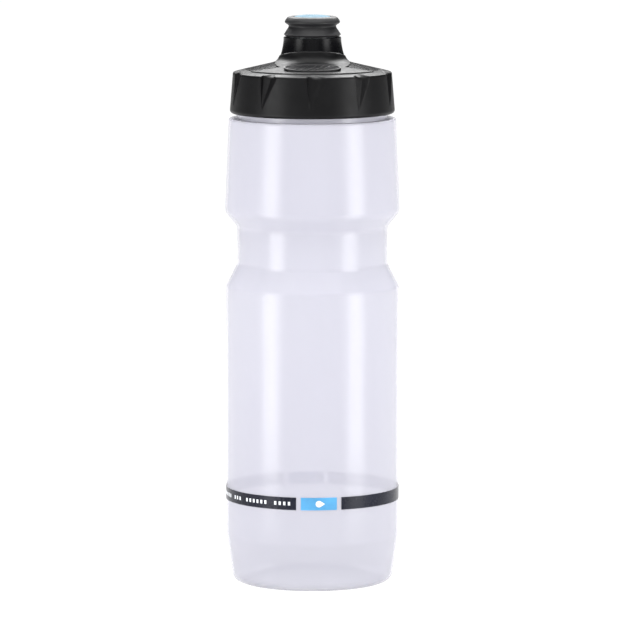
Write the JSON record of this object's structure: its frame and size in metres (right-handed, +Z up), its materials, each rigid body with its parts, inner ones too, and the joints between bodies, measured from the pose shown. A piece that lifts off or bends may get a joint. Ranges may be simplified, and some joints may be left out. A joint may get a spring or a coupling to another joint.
{
  "type": "bicycle water bottle",
  "caption": "Squeezable translucent bicycle water bottle with a grip waist, printed band, screw lid with finger notches and a soft pull-up nozzle with a self-closing membrane.",
  "frame": {"origin": "centre of the base, on the surface that the bottle stands on", "axes": "+Z up along the bottle's axis, the print's front panel and the lid's badge face -Y"},
  "size_m": [0.0738, 0.0738, 0.2408],
  "materials": {
    "body_plastic": "smooth translucent, faint lavender tint",
    "ink_blue": "printed ink",
    "ink_dark": "printed ink",
    "ink_white": "printed ink",
    "seal_rubber": "smooth silicone",
    "lid_gloss": "polished",
    "grip_rubber": "fine satin texture",
    "badge_plastic": "embossed, satin",
    "inner_plastic": "moulded",
    "nozzle_rubber": "soft matte",
    "membrane": "soft silicone"
  },
  "bodies": {
    "bottle": {"bottle_body": "body_plastic", "print_panel_front": "ink_blue", "print_panel_back": "ink_blue", "print_band_right": "ink_dark", "print_band_left": "ink_dark", "drop_mark_front": "ink_white", "drop_mark_back": "ink_white", "dash_row_left": "ink_white", "dash_row_right": "ink_white"},
    "seal": {"lid_seal": "seal_rubber"},
    "lid": {"lid_shell": "lid_gloss", "grip_ring": "grip_rubber", "badge": "badge_plastic", "shutoff_pin": "inner_plastic"},
    "nozzle": {"nozzle_core": "inner_plastic", "slider_seal": "seal_rubber", "mouthpiece": "nozzle_rubber", "membrane_valve": "membrane", "valve_retainer": "inner_plastic"}
  },
  "joints": [
    {"name": "lid_rise", "type": "slide", "parent": "bottle", "child": "seal", "axis": [0, 0, 1], "range_m": [0, 0.005]},
    {"name": "lid_turn", "type": "hinge", "parent": "seal", "child": "lid", "pos_m": [0, 0, 0.2053], "axis": [0, 0, 1], "range_deg": [0, 360]},
    {"name": "nozzle_pull", "type": "slide", "parent": "lid", "child": "nozzle", "axis": [0, 0, 1], "range_m": [0, 0.0055]}
  ],
  "couplings": [
    {"joint": "lid_rise", "follows": "lid_turn", "m_per_rad": 0.00079577}
  ]
}
